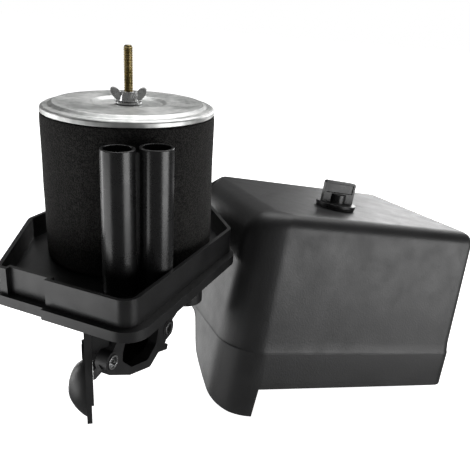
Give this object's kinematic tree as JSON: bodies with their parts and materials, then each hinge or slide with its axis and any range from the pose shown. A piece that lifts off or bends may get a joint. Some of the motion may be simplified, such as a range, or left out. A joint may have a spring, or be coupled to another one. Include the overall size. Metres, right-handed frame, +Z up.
{
  "type": "air filter housing",
  "caption": "Small engine air filter housing: tray with twin intake tubes, foam-wrapped element on a stud with wing nut, carburettor elbow, and removed dust cover with clamping knob.",
  "frame": {"origin": "centre of the carburettor port, in the elbow's flange face", "axes": "+Z up along the filter stud, +X out of the flange towards the carburettor, +Y from the intake tubes' end of the tray towards its back"},
  "size_m": [0.2888, 0.3496, 0.2709],
  "materials": {
    "tray_plastic": "satin moulded black",
    "tube_plastic": "satin moulded black",
    "elbow_plastic": "satin moulded black",
    "cover_plastic": "fine pebble grain, black",
    "knob_plastic": "smooth semi-gloss black",
    "foam": "open-cell black foam",
    "paper_media": "pleated filter paper",
    "cap_metal": "brushed, slightly dull",
    "zinc_steel": "bright zinc plated",
    "stud_zinc": "yellow passivated thread",
    "brass_insert": "turned",
    "black_steel": "black oxide",
    "rubber": "moulded black"
  },
  "bodies": {
    "base": {"tray_case": "tray_plastic", "intake_tube_pair": "tube_plastic", "breather_grommet": "rubber", "centre_stud": "stud_zinc", "stud_nut_upper": "zinc_steel", "stud_washer_upper": "zinc_steel", "stud_nut_lower": "zinc_steel", "element_seal_ring": "rubber", "carburettor_elbow": "elbow_plastic", "elbow_gasket": "rubber", "elbow_screw_1": "zinc_steel", "elbow_screw_2": "zinc_steel", "elbow_screw_3": "zinc_steel", "mounting_collar_front": "zinc_steel", "mounting_collar_rear": "zinc_steel", "scoop_shield": "elbow_plastic", "shield_screw": "black_steel"},
    "element": {"element_top_cap": "cap_metal", "foam_sleeve": "foam", "outer_screen": "zinc_steel", "pleated_paper": "paper_media", "inner_screen": "zinc_steel", "element_bottom_cap": "cap_metal"},
    "nut_washer": {"wing_nut_washer": "zinc_steel"},
    "wing_nut": {"wing_nut": "zinc_steel"},
    "cover": {"dust_cover": "cover_plastic", "knob_retaining_clip": "zinc_steel"},
    "knob": {"cover_knob": "knob_plastic", "knob_thread_insert": "brass_insert", "knob_washer": "rubber"}
  },
  "joints": [
    {"name": "element_lift", "type": "slide", "parent": "base", "child": "element", "axis": [0, 0, 1], "range_m": [0, 0.14]},
    {"name": "washer_climb", "type": "slide", "parent": "element", "child": "nut_washer", "axis": [0, 0, 1], "range_m": [0, 0.0345]},
    {"name": "wing_nut_turn", "type": "hinge", "parent": "nut_washer", "child": "wing_nut", "pos_m": [-0.045, 0.057, 0.137], "axis": [0, 0, 1], "range_deg": [0, 12240]},
    {"name": "cover_lift", "type": "slide", "parent": "base", "child": "cover", "axis": [0.4501, 0.4501, 0.7712], "range_m": [0, 0.16]},
    {"name": "knob_turn", "type": "hinge", "parent": "cover", "child": "knob", "pos_m": [0.06892, 0.17423, 0.04891], "axis": [0.0632, 0.1718, 0.9831], "continuous": true}
  ],
  "couplings": [
    {"joint": "washer_climb", "follows": "wing_nut_turn", "m_per_rad": 0.00015915}
  ]
}
